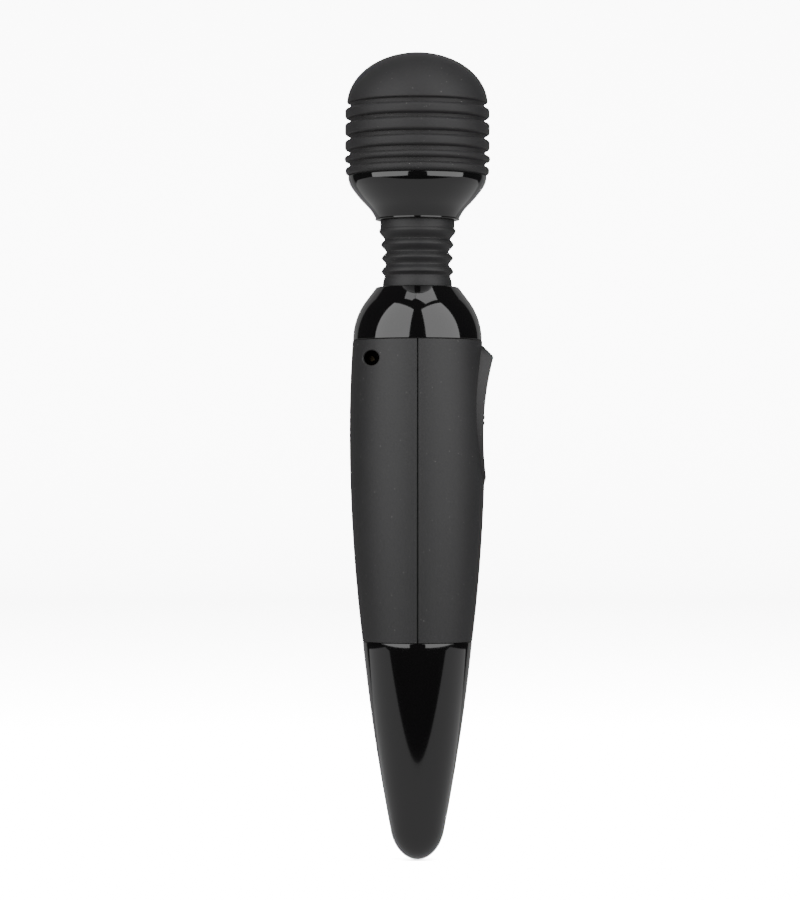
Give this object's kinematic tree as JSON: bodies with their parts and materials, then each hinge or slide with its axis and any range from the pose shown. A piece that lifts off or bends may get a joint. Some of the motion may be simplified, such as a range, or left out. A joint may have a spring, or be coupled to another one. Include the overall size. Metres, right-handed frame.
{
  "type": "handheld wand massager",
  "caption": "Cordless wand massager with a ribbed soft head on a sprung bellows neck, a two-shell handle, a rocker switch and a tapered tail.",
  "frame": {"origin": "on the wand's axis, at the middle of the hand's grip on the handle, 145 mm above the tip of the tail", "axes": "+Z along the wand towards the head; +X towards the rocker; the seam between the two shells lies in the plane X = 0"},
  "size_m": [0.058, 0.057, 0.3151],
  "materials": {
    "soft_touch_shell": "soft-touch matte",
    "gloss_black": "high gloss",
    "silicone": "matte silicone",
    "neck_rubber": "matte moulded rubber",
    "rocker_plastic": "satin",
    "frame_plastic": "natural nylon",
    "spring_steel": "oiled wire",
    "screw_steel": "zinc plated",
    "motor_steel": "plated can",
    "shaft_steel": "ground",
    "ferrite": "sintered",
    "copper_windings": "enamelled wire on laminations",
    "brass": "stamped",
    "bronze": "sintered bronze",
    "nickel": "nickel strip",
    "cell_wrap": "shrink wrap",
    "board": "solder mask",
    "chip": "moulded epoxy",
    "capacitor_can": "sleeved can",
    "lead_insulation": "silicone insulation",
    "weight_metal": "turned",
    "plug_nylon": "white nylon"
  },
  "bodies": {
    "handle": {"front_shell": "soft_touch_shell", "rear_shell": "soft_touch_shell", "tail_cap": "gloss_black", "shoulder_collar": "gloss_black", "neck_base": "frame_plastic", "collar_screws": "screw_steel", "rocker_pin": "shaft_steel", "switch_body": "chip", "switch_terminals": "brass", "battery_cell_lower": "cell_wrap", "battery_cell_upper": "cell_wrap", "battery_sleeve": "frame_plastic", "cell_contacts": "nickel", "battery_lead": "lead_insulation", "return_strip": "nickel", "control_board": "board", "board_screws": "screw_steel", "motor_controller": "chip", "charge_controller": "chip", "filter_capacitor": "capacitor_can", "charge_inductor": "ferrite", "lead_plugs": "plug_nylon", "charge_jack": "chip", "jack_centre_pin": "brass", "jack_leads": "lead_insulation", "motor_leads_handle": "lead_insulation"},
    "neck": {"neck_bellows": "neck_rubber", "neck_spring": "spring_steel", "motor_leads_neck": "lead_insulation", "lead_guide": "frame_plastic"},
    "head": {"head_cup": "gloss_black", "head_dome": "frame_plastic", "head_cap": "silicone", "head_anchor": "frame_plastic", "motor_bracket": "frame_plastic", "bracket_screws": "screw_steel", "motor_screws": "screw_steel", "motor_can": "motor_steel", "motor_end_cap": "frame_plastic", "motor_terminals": "brass", "motor_bushings": "bronze", "motor_magnets": "ferrite", "motor_leads_head": "lead_insulation"},
    "rotor": {"motor_shaft": "shaft_steel", "armature": "copper_windings", "commutator": "brass", "eccentric_weight": "weight_metal", "weight_screw": "screw_steel"},
    "rocker": {"rocker": "rocker_plastic", "switch_plunger": "plug_nylon"},
    "contact": {"switch_contact": "brass"}
  },
  "joints": [
    {"name": "neck_bend_side", "type": "hinge", "parent": "handle", "child": "neck", "pos_m": [0, 0, 0.09135], "axis": [1, 0, 0], "range_deg": [-20, 20], "stiffness_Nm_per_rad": 4, "deforming": ["neck_bellows", "neck_spring", "motor_leads_neck"]},
    {"name": "neck_bend_front", "type": "hinge", "parent": "neck", "child": "head", "pos_m": [0, 0, 0.09135], "axis": [0, 1, 0], "range_deg": [-20, 20], "stiffness_Nm_per_rad": 4, "deforming": ["neck_bellows", "neck_spring", "motor_leads_neck"]},
    {"name": "motor_spin", "type": "hinge", "parent": "head", "child": "rotor", "pos_m": [0, 0, 0.135], "axis": [0, 0, 1], "continuous": true},
    {"name": "rocker_press", "type": "hinge", "parent": "handle", "child": "rocker", "pos_m": [0.0185, 0, 0.0286], "axis": [0, -1, 0], "range_deg": [0, 7.9]},
    {"name": "contact_tilt", "type": "hinge", "parent": "handle", "child": "contact", "pos_m": [0.0062, 0, 0.0286], "axis": [0, 1, 0], "range_deg": [0, 12]}
  ],
  "couplings": [
    {"joint": "contact_tilt", "follows": "rocker_press", "ratio": 1.5}
  ]
}
